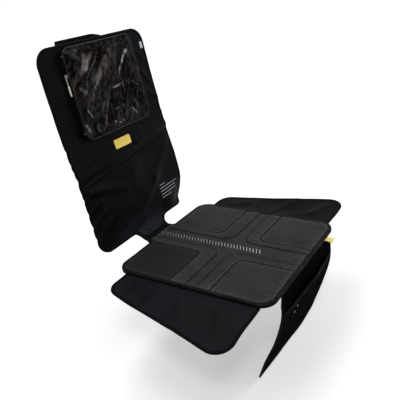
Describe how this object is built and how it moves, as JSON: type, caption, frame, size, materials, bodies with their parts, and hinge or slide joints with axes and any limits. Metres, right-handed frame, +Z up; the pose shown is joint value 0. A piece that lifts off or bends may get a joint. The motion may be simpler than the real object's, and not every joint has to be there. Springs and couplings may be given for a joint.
{
  "type": "car seat protector",
  "caption": "Car seat protector: quilted seat pad with side flaps, a front flap with a mesh pocket, and a backrest with a clear zip pocket and a strap behind its top.",
  "frame": {"origin": "centre of the seat pad's flat underside", "axes": "+Z up, +X to the right seen from the front, +Y back towards the backrest"},
  "size_m": [0.8008, 0.6997, 0.8665],
  "materials": {
    "panel_cloth": "woven black polyester with a soft sheen",
    "lining_cloth": "matt black lining",
    "seat_cloth": "charcoal coated weave with a faint sheen",
    "dark_seat_cloth": "darker charcoal coated weave",
    "core_foam": "closed-cell foam",
    "grip_underlay": "matt non-slip underlay",
    "edge_tape": "ribbed black tape",
    "grip_rubber": "silver grey, slightly glossy",
    "mesh_cloth": "black open mesh",
    "yellow_ribbon": "woven yellow ribbon",
    "yellow_rubber": "satin yellow",
    "pale_print": "printed, pale grey",
    "woven_tag": "woven, bluish white",
    "clear_film": "clear flexible film, glossy and creased",
    "piping_plastic": "glossy black piping",
    "stud_metal": "grey metal",
    "coil_nylon": "black nylon coil",
    "zip_metal": "pale enamel",
    "pull_plastic": "cream, glossy",
    "strap_webbing": "black webbing"
  },
  "bodies": {
    "cover": {"seat_base_layer": "grip_underlay", "seat_foam_core": "core_foam", "seat_cross_panel": "seat_cloth", "seat_pad_rear_left": "dark_seat_cloth", "seat_pad_rear_right": "seat_cloth", "seat_pad_front_left": "seat_cloth", "seat_pad_front_right": "seat_cloth", "grip_dots": "grip_rubber", "seat_binding": "edge_tape", "corner_tag": "yellow_ribbon", "left_flap": "panel_cloth", "left_flap_binding": "edge_tape", "right_flap": "panel_cloth", "right_flap_binding": "edge_tape", "front_flap": "panel_cloth", "front_flap_binding": "edge_tape", "front_mesh_pocket": "mesh_cloth", "pocket_hem_band": "edge_tape", "press_stud_upper": "stud_metal", "press_stud_lower": "stud_metal", "back_panel_lower": "panel_cloth", "back_panel_upper": "panel_cloth", "back_lining": "lining_cloth", "back_binding": "edge_tape", "back_seam_tape": "edge_tape", "neck_seam_tape": "edge_tape", "yellow_patch": "yellow_rubber", "print_bars": "pale_print", "side_tag": "woven_tag", "pocket_gusset": "panel_cloth", "pocket_window": "clear_film", "window_piping": "piping_plastic", "zip_tape_front": "edge_tape", "zip_tape_rear": "edge_tape", "zip_coil": "coil_nylon", "zip_stop_bottom": "zip_metal", "zip_stop_top": "zip_metal", "headrest_strap": "strap_webbing", "strap_anchor_left": "lining_cloth", "strap_anchor_right": "lining_cloth"},
    "slider": {"zip_slider": "zip_metal"},
    "pull": {"zip_pull": "pull_plastic"}
  },
  "joints": [
    {"name": "zip_slide", "type": "slide", "parent": "cover", "child": "slider", "axis": [0, 0.151, 0.9885], "range_m": [-0.153, 0.043]},
    {"name": "pull_swing", "type": "hinge", "parent": "slider", "child": "pull", "pos_m": [-0.146, 0.35644, 0.52102], "axis": [0, 0.9885, -0.151], "range_deg": [0, 150]}
  ]
}
